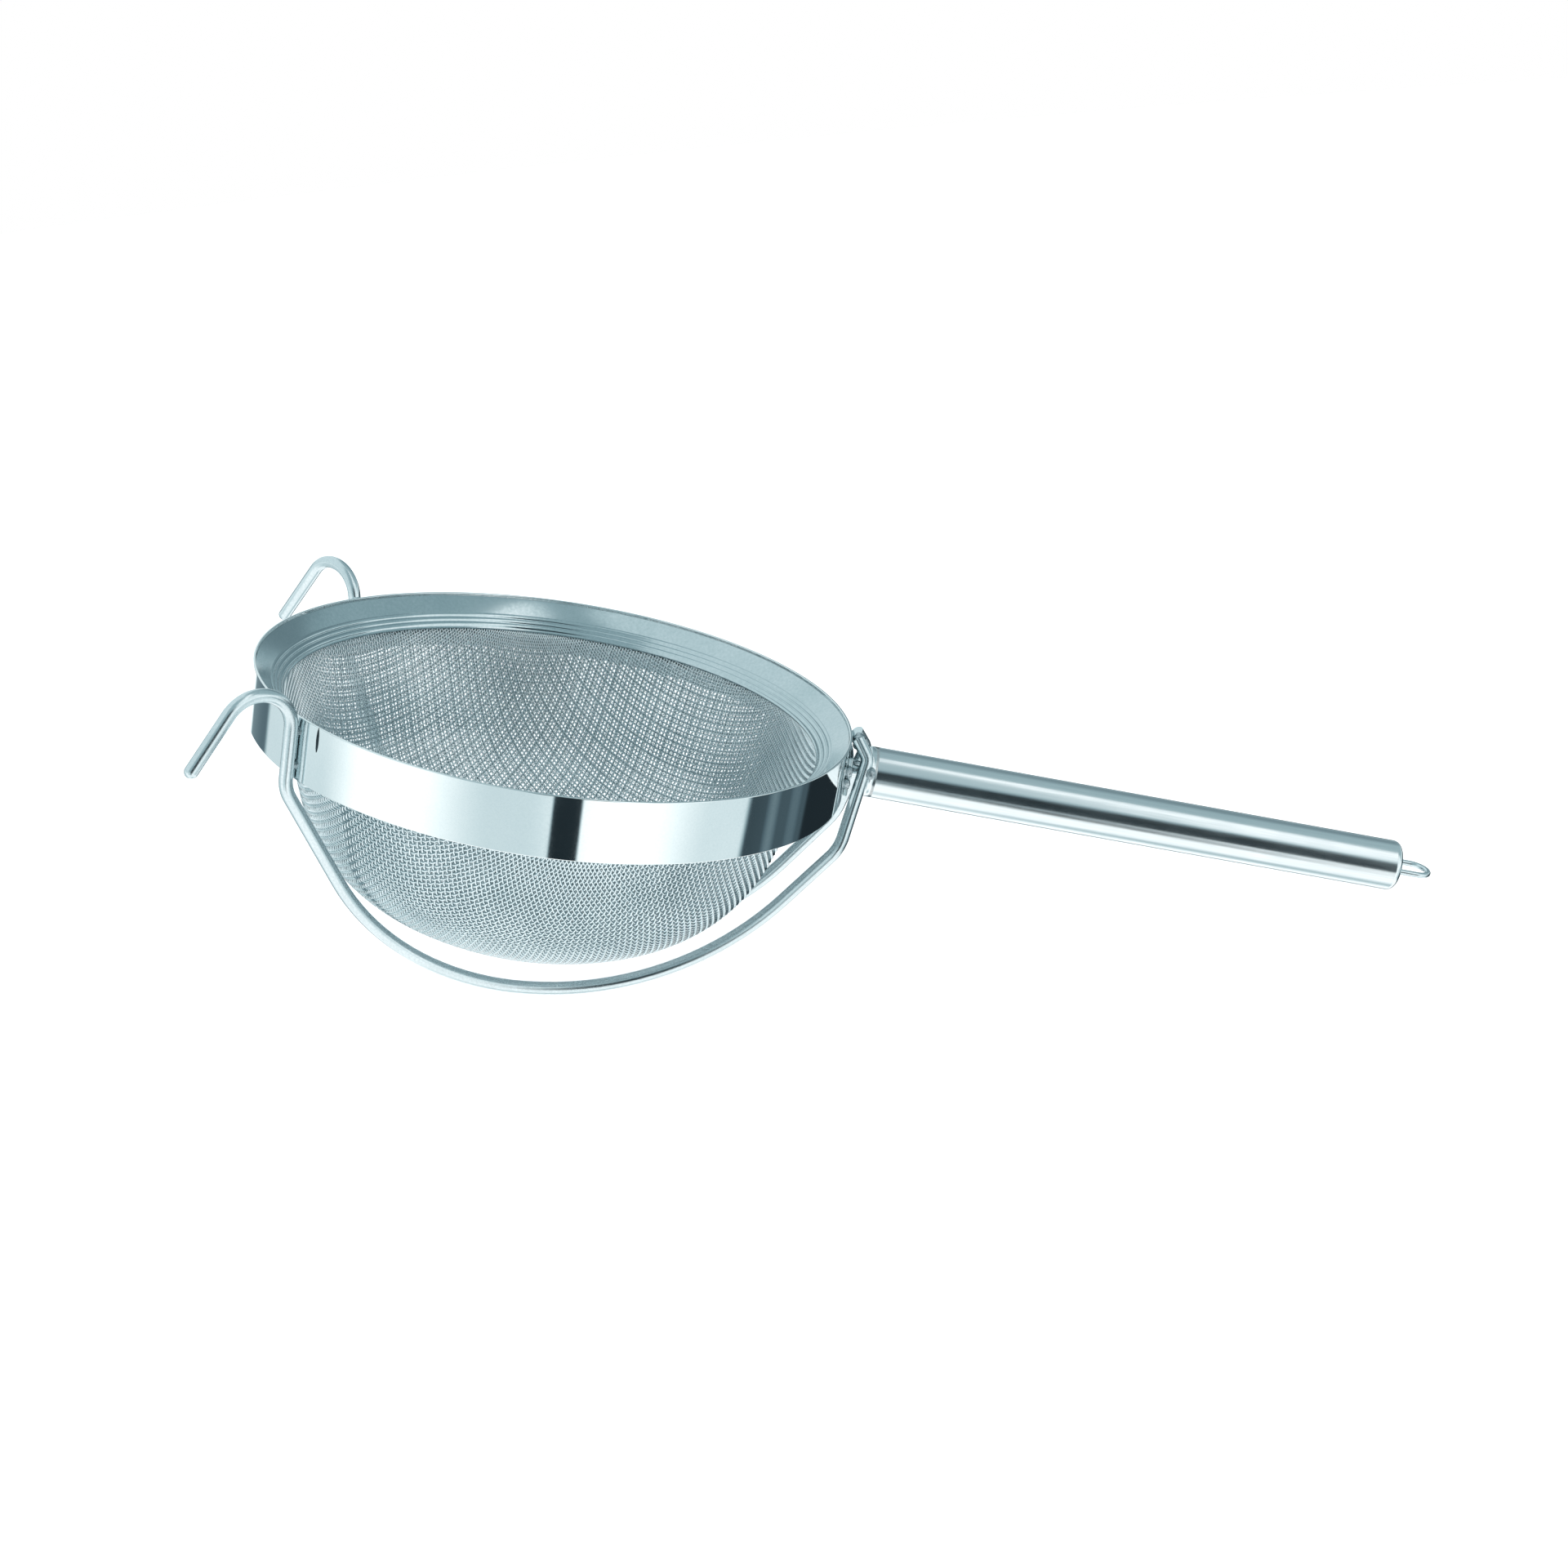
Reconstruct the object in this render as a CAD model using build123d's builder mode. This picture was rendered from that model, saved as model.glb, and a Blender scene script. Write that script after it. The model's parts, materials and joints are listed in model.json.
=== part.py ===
from build123d import *
import os
from math import asin, cos, degrees, radians, sin, tan

# A bowl strainer: a double bowl of woven wire cloth held in a deep rim band, two bent frame
# wires that are hooks at the front and skids below, and a round tube handle at the back.
# The model lies as the strainer lies on a table: on its two wires and on the handle's end.
# The bowl's own frame has its origin in the middle of the rim's top edge, z up the bowl's axis
# and x towards the handle. The left side is the left hand's when the handle is held.

# Rim band
rim_radius = 110.0
band_height = 22.5
band_wall = 1.0
band_edge_break = 0.2

# Wire cloth: two nested bowls with one meridian, its lip clamped inside the band
bowl_depth = 99.0
shoulder_radius = 58.0
shoulder_start_angle = 29.5
wall_angle = 72.5
mouth_inset = 10.0
mouth_drop = 14.0
roll_radius = 3.0
lip_angle = 43.0
lip_inset = 3.0
coarse_cloth = 1.2
fine_cloth = 0.7
layer_gap = 0.1

# Openings through both cloths that stand for the weave, in rings from the pole to the mouth
mesh_bar = 7.0
pole_disc_radius = 8.0
floor_ring_counts = (6, 12)
shoulder_ring_counts = (20, 24)
wall_ring_counts = (24, 24)
cut_clearance = 1.0

# Rings that clamp the cloth's lip
ring_sheet = 0.8
ring_gap = 0.1
clamp_curl_angle = 6.0
bead_count = 3
bead_pitch = 2.1
bead_rise = 0.45
seat_leg = 7.0

# Frame wires
wire_radius = 2.4
wire_seat_gap = 0.3
hook_angle = 139.2
hook_rise = 9.0
hook_reach = 20.6
hook_bend_radius = 13.0
hook_slope_angle = 57.0
hook_run = 29.0
foot_drop = 26.2
foot_bend_radius = 14.0
skid_clearance = 8.6
riser_reach = 1.3
riser_spread = 18.3
riser_drop = 39.8
riser_bend_radius = 16.0
crest_reach = 6.9
crest_spread = 6.9
crest_drop = 7.5
crest_bend_radius = 5.0
wire_end_reach = 2.2
wire_end_spread = 4.4
wire_end_drop = 1.1

# Handle
handle_drop = 14.3
handle_slope_angle = 1.7
tube_radius = 9.5
tube_wall = 1.0
handle_length = 214.8
root_gap = 9.5
cap_plate = 3.0
cap_skirt = 6.0
cap_fit = 0.05
root_edge_radius = 1.5
end_edge_radius = 2.8
nose_radius = 3.2
nose_gap = 0.2

# Hanging loop
loop_wire_radius = 1.05
loop_half_width = 5.7
loop_reach = 13.6

# Saddle pad between band and handle, and the weld metal
saddle_width = 22.0
saddle_height = 15.0
saddle_sheet = 1.6
seat_gap = 0.1
nugget_radius = 1.2
nugget_spacing = 12.0
crest_bead_radius = 3.4
root_bead_radius = 2.2
root_bead_drop = 12.0
saddle_bead_radius = 1.7
saddle_bead_spacing = 4.6

# The two corners of a frame wire's skid under the bowl, x and y as shares of the rim radius,
# and how much of the run between them each of the two wide bends takes
front_corner_shares = (-0.381, 0.403)
rear_corner_shares = (0.572, 0.150)
front_sweep_share = 0.485
rear_sweep_share = 0.497

os.makedirs("parts", exist_ok=True)


def along(start, angle, length):
    """The point at a distance from start, in a direction given in degrees."""
    turn = radians(angle)
    return Vector(start) + Vector(length * cos(turn), length * sin(turn))


def hook_point(reach, height, side):
    """A point in the upright plane that holds one hook; side is 1 on the right, -1 on the left."""
    turn = radians(hook_angle)
    return Vector(reach * cos(turn), side * reach * sin(turn), height)


def skid_point(shares, side):
    """A corner of a frame wire under the bowl."""
    height = -bowl_depth - skid_clearance
    return Vector(shares[0] * rim_radius, side * shares[1] * rim_radius, height)


def root_point(reach, spread, drop, side):
    """A corner of a frame wire at the handle's root, from the band's outer face and top edge."""
    return Vector(rim_radius + reach, side * spread, -drop)


def sweep_radius(before, corner, after, run, share):
    """The radius of a bend whose arc takes a share of a run of the wire."""
    turn = radians((corner - before).get_angle(after - corner))
    return share * run / tan(turn / 2)


# Frame wire corners from the hook's tip to the wire's end at the handle
leg_radius = rim_radius + wire_seat_gap + wire_radius
hook_corner = Vector(leg_radius + hook_reach, hook_rise)
hook_tip = along(hook_corner, -hook_slope_angle, hook_run)


def wire_corners(side):
    """The corners of one frame wire in the bowl's frame."""
    return [
        hook_point(hook_tip.X, hook_tip.Y, side),
        hook_point(hook_corner.X, hook_corner.Y, side),
        hook_point(leg_radius, hook_rise, side),
        hook_point(leg_radius, -foot_drop, side),
        skid_point(front_corner_shares, side),
        skid_point(rear_corner_shares, side),
        root_point(riser_reach, riser_spread, riser_drop, side),
        root_point(crest_reach, crest_spread, crest_drop, side),
        root_point(wire_end_reach, wire_end_spread, wire_end_drop, side),
    ]


foot, front, rear, riser = wire_corners(1)[3:7]
skid_run = (rear - front).length
wire_bends = [
    hook_bend_radius,
    hook_bend_radius,
    foot_bend_radius,
    sweep_radius(foot, front, rear, skid_run, front_sweep_share),
    sweep_radius(front, rear, riser, skid_run, rear_sweep_share),
    riser_bend_radius,
    crest_bend_radius,
]

# Resting tilt: the angle at which the lowest run of the wires and the lower edge of the
# handle's end lie on one table
wire_line = FilletPolyline(*wire_corners(1), radius=wire_bends)
wire_samples = [wire_line @ (step / 600) for step in range(601)]
handle_start = Vector(rim_radius, 0, -handle_drop)
handle_turn = radians(handle_slope_angle)
handle_end = handle_start + Vector(cos(handle_turn), 0, -sin(handle_turn)) * handle_length
heel = handle_end - Vector(cos(handle_turn), 0, -sin(handle_turn)) * end_edge_radius


def depth(point, tilt):
    """How far a point of the bowl's frame lies under the rim's centre when the bowl is tilted."""
    return point.X * sin(tilt) - point.Z * cos(tilt)


def wire_depth(tilt):
    """How far the frame wires reach under the rim's centre."""
    return max(depth(point, tilt) for point in wire_samples) + wire_radius


def heel_depth(tilt):
    """How far the handle's end reaches under the rim's centre."""
    return depth(heel, tilt) + tube_radius * cos(tilt + handle_turn)


low_tilt, high_tilt = 0.0, radians(45)
for _ in range(40):
    rest_tilt = (low_tilt + high_tilt) / 2
    if heel_depth(rest_tilt) > wire_depth(rest_tilt):
        high_tilt = rest_tilt
    else:
        low_tilt = rest_tilt

# The bowl's frame as planes, with the model's origin on the table in the middle of its length
tilted_x = Vector(cos(rest_tilt), 0, -sin(rest_tilt))
tilted_z = Vector(sin(rest_tilt), 0, cos(rest_tilt))
tip = hook_point(hook_tip.X, hook_tip.Y, 1)
front_end = tip.X * cos(rest_tilt) + tip.Z * sin(rest_tilt) - wire_radius
loop_centre_reach = loop_reach - loop_half_width - loop_wire_radius
loop_centre = handle_end + Vector(cos(handle_turn), 0, -sin(handle_turn)) * loop_centre_reach
back_end = (
    loop_centre.X * cos(rest_tilt)
    + loop_centre.Z * sin(rest_tilt)
    + loop_half_width * cos(rest_tilt + handle_turn)
    + loop_wire_radius
)
rim_centre = Vector(-(front_end + back_end) / 2, 0, wire_depth(rest_tilt))
bowl_plane = Plane(origin=rim_centre, x_dir=tilted_x, z_dir=tilted_z)
bowl_section = Plane(origin=rim_centre, x_dir=tilted_x, z_dir=(0, -1, 0))
bowl_axis = Axis(rim_centre, tilted_z)

# The handle's frame: origin on the band's outer face, its own x along the handle
handle_origin = bowl_plane.from_local_coords(handle_start)
handle_dir = Vector(cos(rest_tilt + handle_turn), 0, -sin(rest_tilt + handle_turn))
handle_face = Plane(origin=handle_origin, x_dir=(0, 1, 0), z_dir=handle_dir)
handle_section = Plane(origin=handle_origin, x_dir=handle_dir, z_dir=(0, -1, 0))
handle_flat = Plane(origin=handle_origin, x_dir=handle_dir, z_dir=handle_section.y_dir)
handle_axis = Axis(handle_origin, handle_dir)

# Rim band
band_inner = rim_radius - band_wall
with BuildPart() as rim_band:
    with BuildSketch(bowl_section):
        with Locations((band_inner, -band_height)):
            Rectangle(band_wall, band_height, align=(Align.MIN, Align.MIN))
        chamfer(vertices(), band_edge_break)
    revolve(axis=bowl_axis)

# The cloth's meridian, on its outer face: floor arc, shoulder arc, straight wall, rolled mouth.
# The floor's radius is the one with which the shoulder runs straight into the wall.
mouth = Vector(rim_radius - mouth_inset, -mouth_drop)
wall_out = along((0, 0), wall_angle - 90, 1)
shoulder_turn = radians(shoulder_start_angle)
floor_lean = Vector(sin(shoulder_turn), 1 - cos(shoulder_turn))
shoulder_foot = along((0, -bowl_depth), shoulder_start_angle + 90, shoulder_radius)
wall_reach = wall_out.dot(mouth - shoulder_foot) - shoulder_radius
floor_radius = wall_reach / wall_out.dot(floor_lean)
floor_centre = Vector(0, floor_radius - bowl_depth)
shoulder_centre = shoulder_foot + floor_lean * floor_radius
roll_centre = along(mouth, wall_angle - 90, roll_radius)
lip_radius = band_inner - lip_inset


def meridian(inset):
    """Draws the cloth's meridian moved inwards, and returns its ends on the axis and the lip."""
    floor = CenterArc(floor_centre, floor_radius - inset, -90, shoulder_start_angle)
    shoulder = CenterArc(
        shoulder_centre,
        shoulder_radius - inset,
        shoulder_start_angle - 90,
        wall_angle - shoulder_start_angle,
    )
    roll = CenterArc(roll_centre, roll_radius + inset, wall_angle + 90, lip_angle - wall_angle)
    Line(shoulder @ 1, roll @ 0)
    lip_run = (lip_radius - (roll @ 1).X) / cos(radians(lip_angle))
    lip = Line(roll @ 1, along(roll @ 1, lip_angle, lip_run))
    return floor @ 0, lip @ 1


# Openings that stand for the weave. Each ring of them keeps to one run of the meridian, half
# a bar short of its ends, and cuts through both cloths.
fine_inset = coarse_cloth + layer_gap
cut_in = fine_inset + fine_cloth + cut_clearance
wall_foot = shoulder_centre + wall_out * shoulder_radius
wall_run = (mouth - wall_foot).length
with BuildPart() as mesh_openings:
    for centre, radius, first, sweep_angle, counts in (
        (floor_centre, floor_radius, 0, shoulder_start_angle, floor_ring_counts),
        (
            shoulder_centre,
            shoulder_radius,
            shoulder_start_angle,
            wall_angle - shoulder_start_angle,
            shoulder_ring_counts,
        ),
    ):
        bar_angle = degrees(mesh_bar / radius)
        ring_angle = sweep_angle / len(counts)
        for ring, count in enumerate(counts):
            start = first + ring * ring_angle + bar_angle / 2
            if ring == 0 and first == 0:
                start = degrees(pole_disc_radius / radius)
            end = first + (ring + 1) * ring_angle - bar_angle / 2
            middle = centre + along((0, 0), (start + end) / 2 - 90, radius)
            opening_angle = 360 / count - degrees(mesh_bar / middle.X)
            for opening in range(count):
                turn = opening * 360 / count - opening_angle / 2
                opening_section = Plane(
                    origin=rim_centre,
                    x_dir=tilted_x.rotate(bowl_axis, turn),
                    z_dir=bowl_section.z_dir.rotate(bowl_axis, turn),
                )
                with BuildSketch(opening_section):
                    with BuildLine():
                        outer = CenterArc(centre, radius + cut_clearance, start - 90, end - start)
                        inner = CenterArc(centre, radius - cut_in, start - 90, end - start)
                        Line(outer @ 0, inner @ 0)
                        Line(outer @ 1, inner @ 1)
                    make_face()
                revolve(axis=bowl_axis, revolution_arc=opening_angle)
    for ring, count in enumerate(wall_ring_counts):
        ring_run = wall_run / len(wall_ring_counts)
        low = along(wall_foot, wall_angle, ring * ring_run + mesh_bar / 2)
        high = along(wall_foot, wall_angle, (ring + 1) * ring_run - mesh_bar / 2)
        opening_angle = 360 / count - degrees(mesh_bar / ((low.X + high.X) / 2))
        for opening in range(count):
            turn = opening * 360 / count - opening_angle / 2
            opening_section = Plane(
                origin=rim_centre,
                x_dir=tilted_x.rotate(bowl_axis, turn),
                z_dir=bowl_section.z_dir.rotate(bowl_axis, turn),
            )
            with BuildSketch(opening_section):
                with BuildLine():
                    Polyline(
                        low + wall_out * cut_clearance,
                        high + wall_out * cut_clearance,
                        high - wall_out * cut_in,
                        low - wall_out * cut_in,
                        close=True,
                    )
                make_face()
            revolve(axis=bowl_axis, revolution_arc=opening_angle)

# Coarse outer cloth and fine inner cloth, as shells with the plain grid of openings
clamp_inset = fine_inset + fine_cloth + ring_gap
cloth_bowls = []
for outer_inset, inner_inset in ((0, coarse_cloth), (fine_inset, fine_inset + fine_cloth)):
    with BuildPart() as cloth_bowl:
        with BuildSketch(bowl_section):
            with BuildLine():
                outer_foot, outer_lip = meridian(outer_inset)
                inner_foot, inner_lip = meridian(inner_inset)
                Line(outer_foot, inner_foot)
                Line(outer_lip, inner_lip)
            make_face()
        revolve(axis=bowl_axis)
        add(mesh_openings.part, mode=Mode.SUBTRACT)
    cloth_bowls.append(cloth_bowl)
coarse_mesh_bowl, fine_mesh_bowl = cloth_bowls

# Clamp ring on top of the cloth's lip: a cone with rolled beads on its inner half
ring_outer = band_inner - ring_gap
clamp_under = roll_radius + clamp_inset
clamp_top = clamp_under + ring_sheet
curl_start = lip_angle + clamp_curl_angle
with BuildPart() as clamp_ring:
    with BuildSketch(bowl_section):
        with BuildLine():
            under_roll = CenterArc(roll_centre, clamp_under, curl_start + 90, -clamp_curl_angle)
            top_roll = CenterArc(roll_centre, clamp_top, curl_start + 90, -clamp_curl_angle)
            Line(under_roll @ 0, top_roll @ 0)
            under_run = (ring_outer - (under_roll @ 1).X) / cos(radians(lip_angle))
            top_run = (ring_outer - (top_roll @ 1).X) / cos(radians(lip_angle))
            under_line = Line(under_roll @ 1, along(under_roll @ 1, lip_angle, under_run))
            start = top_roll @ 1
            for bead in range(bead_count):
                end = along(start, lip_angle, bead_pitch)
                crown = along(along(start, lip_angle, bead_pitch / 2), lip_angle + 90, bead_rise)
                ThreePointArc(start, crown, end)
                start = end
            plain = Line(start, along(start, lip_angle, top_run - bead_count * bead_pitch))
            Line(plain @ 1, under_line @ 1)
        make_face()
    revolve(axis=bowl_axis)

# Seat ring under the cloth's lip, with an upright leg against the band's inner face
seat_top = roll_radius - ring_gap
seat_under = seat_top - ring_sheet
roll_sweep = lip_angle - wall_angle
with BuildPart() as seat_ring:
    with BuildSketch(bowl_section):
        with BuildLine():
            seat_roll = CenterArc(roll_centre, seat_top, wall_angle + 90, roll_sweep)
            back_roll = CenterArc(roll_centre, seat_under, wall_angle + 90, roll_sweep)
            Line(seat_roll @ 0, back_roll @ 0)
            seat_run = (ring_outer - (seat_roll @ 1).X) / cos(radians(lip_angle))
            back_run = (ring_outer - ring_sheet - (back_roll @ 1).X) / cos(radians(lip_angle))
            seat_line = Line(seat_roll @ 1, along(seat_roll @ 1, lip_angle, seat_run))
            back_line = Line(back_roll @ 1, along(back_roll @ 1, lip_angle, back_run))
            leg_line = Line(seat_line @ 1, along(seat_line @ 1, -90, seat_leg))
            leg_foot = Line(leg_line @ 1, along(leg_line @ 1, 180, ring_sheet))
            Line(leg_foot @ 1, back_line @ 1)
        make_face()
    revolve(axis=bowl_axis)

# Frame wires: hook, leg on the band, skid under the bowl and riser to the handle's root
frame_wires = []
for side, wire_name in ((1, "guard_wire_right"), (-1, "guard_wire_left")):
    with BuildPart() as guard_wire:
        with BuildLine() as wire_path:
            corners = [bowl_plane.from_local_coords(corner) for corner in wire_corners(side)]
            FilletPolyline(*corners, radius=wire_bends)
        with BuildSketch(Plane(origin=wire_path.line @ 0, z_dir=wire_path.line % 0)):
            Circle(wire_radius)
        sweep()
        with Locations(wire_path.line @ 0):
            Sphere(wire_radius)
    guard_wire.part.label = wire_name
    frame_wires.append(guard_wire)
guard_wire_right, guard_wire_left = frame_wires

# Saddle pad on the band's outer face under the handle
saddle_half_angle = degrees(asin(saddle_width / 2 / rim_radius))
saddle_inner = rim_radius + seat_gap
saddle_outer = saddle_inner + saddle_sheet
saddle_start = Plane(
    origin=rim_centre,
    x_dir=tilted_x.rotate(bowl_axis, -saddle_half_angle),
    z_dir=bowl_section.z_dir.rotate(bowl_axis, -saddle_half_angle),
)
with BuildPart() as band_saddle:
    with BuildSketch(saddle_start):
        with Locations((saddle_inner, -handle_drop)):
            Rectangle(saddle_sheet, saddle_height, align=(Align.MIN, Align.CENTER))
    revolve(axis=bowl_axis, revolution_arc=2 * saddle_half_angle)

# Handle tube
tube_bore = tube_radius - tube_wall
tube_start = root_gap + root_edge_radius
tube_length = handle_length - end_edge_radius - tube_start
with BuildPart() as handle_tube:
    with BuildSketch(handle_face.offset(tube_start)):
        Circle(tube_radius)
        Circle(tube_bore, mode=Mode.SUBTRACT)
    extrude(amount=tube_length)

# Root cap: closes the tube towards the bowl, with a nose that reaches the saddle pad
skirt_radius = tube_bore - cap_fit
nose_start = saddle_outer - rim_radius + nose_gap
with BuildPart() as handle_root_cap:
    with BuildSketch(handle_face.offset(root_gap)):
        Circle(tube_radius)
    extrude(amount=root_edge_radius)
    fillet(faces().sort_by(handle_axis)[0].edges(), root_edge_radius - cap_fit)
    with BuildSketch(handle_face.offset(tube_start)):
        Circle(skirt_radius)
    extrude(amount=cap_skirt)
    with BuildSketch(handle_face.offset(nose_start)):
        Circle(nose_radius)
    extrude(amount=root_gap - nose_start)

# End cap: closes the tube with a rounded edge, drilled for the two legs of the loop
loop_hole_radius = loop_wire_radius + cap_fit
cap_root = handle_length - end_edge_radius
with BuildPart() as handle_end_cap:
    with BuildSketch(handle_face.offset(cap_root)):
        Circle(tube_radius)
    extrude(amount=end_edge_radius)
    fillet(faces().sort_by(handle_axis)[-1].edges(), end_edge_radius - cap_fit)
    with BuildSketch(handle_face.offset(cap_root - cap_skirt)):
        Circle(skirt_radius)
    extrude(amount=cap_skirt)
    with BuildSketch(handle_face.offset(handle_length - cap_plate)):
        with Locations((-loop_half_width, 0), (loop_half_width, 0)):
            Circle(loop_hole_radius)
    extrude(amount=cap_plate, mode=Mode.SUBTRACT)

# Hanging loop: one bent wire, both legs in the end cap
leg_start = handle_length - cap_plate + cap_fit
bend_start = handle_length + loop_centre_reach
with BuildPart() as hanging_loop:
    with BuildLine(handle_flat) as loop_path:
        Line((leg_start, -loop_half_width), (bend_start, -loop_half_width))
        CenterArc((bend_start, 0), loop_half_width, -90, 180)
        Line((bend_start, loop_half_width), (leg_start, loop_half_width))
    with BuildSketch(Plane(origin=loop_path.line @ 0, z_dir=loop_path.line % 0)):
        Circle(loop_wire_radius)
    sweep()

# Spot welds between the hooks' legs and the band, cut to the wire they hold
with BuildPart() as hook_spot_welds:
    for side, guard_wire in ((1, guard_wire_right), (-1, guard_wire_left)):
        for height in (-nugget_spacing / 2, nugget_spacing / 2):
            weld_point = hook_point(rim_radius, height - band_height / 2, side)
            outward = hook_point(rim_radius, 0, side)
            weld_plane = Plane(
                origin=bowl_plane.from_local_coords(weld_point),
                z_dir=bowl_plane.from_local_coords(outward) - rim_centre,
            )
            with BuildSketch(weld_plane):
                Circle(nugget_radius)
            extrude(amount=wire_seat_gap + wire_radius)
    for piece in (guard_wire_right, guard_wire_left, rim_band):
        add(piece.part, mode=Mode.SUBTRACT)

# Weld bead where the two wires end at the band's top edge, outside the band only
with BuildPart() as wire_end_weld:
    bead_point = root_point(wire_radius, 0, wire_end_drop, 1)
    with Locations(bowl_plane.from_local_coords(bead_point)):
        Sphere(crest_bead_radius)
    with BuildSketch(bowl_plane.offset(-band_height)):
        Circle(rim_radius)
    extrude(amount=band_height + crest_bead_radius, mode=Mode.SUBTRACT)
    for piece in (guard_wire_right, guard_wire_left, handle_root_cap, band_saddle):
        add(piece.part, mode=Mode.SUBTRACT)

# Weld beads between the risers and the edge of the handle's root
root_bead_reach = tube_start - root_bead_radius - seat_gap
with BuildPart() as root_weld_beads:
    for side in (1, -1):
        bead_point = root_point(root_bead_reach, tube_radius, root_bead_drop, side)
        with Locations(bowl_plane.from_local_coords(bead_point)):
            Sphere(root_bead_radius)
    with BuildSketch(handle_face.offset(tube_start)):
        Circle(tube_radius)
    extrude(amount=tube_radius, mode=Mode.SUBTRACT)
    for piece in (guard_wire_right, guard_wire_left, handle_root_cap):
        add(piece.part, mode=Mode.SUBTRACT)

# Short weld seams along the upright edges of the saddle pad, outside the band and the pad
saddle_edge = saddle_outer * sin(radians(saddle_half_angle))
with BuildPart() as saddle_weld_beads:
    for height in (-saddle_bead_spacing / 2, saddle_bead_spacing / 2):
        with BuildSketch(bowl_plane.offset(height - handle_drop - saddle_bead_radius)):
            with Locations((rim_radius, saddle_edge), (rim_radius, -saddle_edge)):
                Circle(saddle_bead_radius)
            Circle(rim_radius, mode=Mode.SUBTRACT)
            with Locations((rim_radius, 0)):
                Rectangle(4 * saddle_sheet, 2 * saddle_edge, mode=Mode.SUBTRACT)
        extrude(amount=2 * saddle_bead_radius)

pieces = {
    "rim_band": rim_band,
    "clamp_ring": clamp_ring,
    "seat_ring": seat_ring,
    "fine_mesh_bowl": fine_mesh_bowl,
    "coarse_mesh_bowl": coarse_mesh_bowl,
    "guard_wire_left": guard_wire_left,
    "guard_wire_right": guard_wire_right,
    "hook_spot_welds": hook_spot_welds,
    "wire_end_weld": wire_end_weld,
    "band_saddle": band_saddle,
    "saddle_weld_beads": saddle_weld_beads,
    "handle_root_cap": handle_root_cap,
    "root_weld_beads": root_weld_beads,
    "handle_tube": handle_tube,
    "handle_end_cap": handle_end_cap,
    "hanging_loop": hanging_loop,
}
for name, piece in pieces.items():
    piece.part.label = name
    export_step(piece.part, f"parts/{name}.step")
print("resting tilt", round(degrees(rest_tilt), 2), "rim centre", tuple(rim_centre))
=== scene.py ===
"""Round double-mesh bowl strainer with a polished rim band, two frame wires and a tube handle.

Pieces are modelled in millimetres in the bowl's or the handle's own frame and then brought
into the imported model's frame, in metres.
"""

import json
from math import acos, atan2, cos, degrees, hypot, pi, radians, sin, tan

import bmesh
import bpy
from mathutils import Matrix, Vector, noise

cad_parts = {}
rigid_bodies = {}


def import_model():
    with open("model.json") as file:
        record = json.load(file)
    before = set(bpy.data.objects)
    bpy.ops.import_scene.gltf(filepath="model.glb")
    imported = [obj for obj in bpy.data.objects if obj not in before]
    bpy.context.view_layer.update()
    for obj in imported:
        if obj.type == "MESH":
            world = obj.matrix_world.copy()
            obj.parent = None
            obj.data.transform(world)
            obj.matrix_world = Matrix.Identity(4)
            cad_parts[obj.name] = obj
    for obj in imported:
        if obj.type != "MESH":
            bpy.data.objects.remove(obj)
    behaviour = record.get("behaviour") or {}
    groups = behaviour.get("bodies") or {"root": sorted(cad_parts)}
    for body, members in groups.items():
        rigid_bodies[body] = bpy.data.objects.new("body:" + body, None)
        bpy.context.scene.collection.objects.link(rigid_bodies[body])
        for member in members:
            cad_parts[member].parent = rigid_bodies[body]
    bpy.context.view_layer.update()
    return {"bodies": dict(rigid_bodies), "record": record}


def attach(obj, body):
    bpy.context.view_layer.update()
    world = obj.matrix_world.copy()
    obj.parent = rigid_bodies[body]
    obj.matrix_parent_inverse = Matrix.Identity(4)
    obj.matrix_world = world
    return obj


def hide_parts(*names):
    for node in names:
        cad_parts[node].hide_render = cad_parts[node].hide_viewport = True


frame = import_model()
body = next(iter(frame["bodies"]))
scene = bpy.context.scene

# ---------------------------------------------------------------- frames

mounts = {mount["name"]: mount for mount in frame["record"]["mounts"]}
rim_centre = Vector(mounts["bowl_mouth"]["pos_m"])
bowl_axis = Vector(mounts["bowl_mouth"]["axis"])
rest_tilt = atan2(bowl_axis.x, bowl_axis.z)
bowl_to_frame = (
    Matrix.Translation(rim_centre)
    @ Matrix.Rotation(rest_tilt, 4, "Y")
    @ Matrix.Scale(0.001, 4)
)

# Millimetres and radians, from the part's source
RIM_RADIUS = 110.0
BAND_HEIGHT = 22.5
BAND_WALL = 1.0
BOWL_DEPTH = 99.0
SHOULDER_RADIUS = 58.0
SHOULDER_START = radians(29.5)
WALL_ANGLE = radians(72.5)
LIP_ANGLE = radians(43.0)
MOUTH = Vector((100.0, -14.0))
ROLL_RADIUS = 3.0
LIP_RADIUS = 106.0
WIRE_RADIUS = 2.4
HANDLE_DROP = 14.3
HANDLE_SLOPE = radians(1.7)
TUBE_RADIUS = 9.5
TUBE_START = 11.0
TUBE_END = 212.0
HANDLE_LENGTH = 214.8

handle_to_frame = (
    bowl_to_frame
    @ Matrix.Translation((RIM_RADIUS, 0.0, -HANDLE_DROP))
    @ Matrix.Rotation(HANDLE_SLOPE, 4, "Y")
)

# ---------------------------------------------------------------- materials

# Size of the slow patches in a steel's tone, and the share of the tone that the grain has
CLOUD_MM = 18.0
GRAIN_SHARE = 0.6
# Most of a noise texture's values lie between these
NOISE_LOW = 0.3
NOISE_HIGH = 0.7


def linear(hex_colour):
    """An sRGB hex colour as a linear RGBA value."""
    parts = [int(hex_colour[i : i + 2], 16) / 255 for i in (1, 3, 5)]
    return [c / 12.92 if c <= 0.04045 else ((c + 0.055) / 1.055) ** 2.4 for c in parts] + [1.0]


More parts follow.
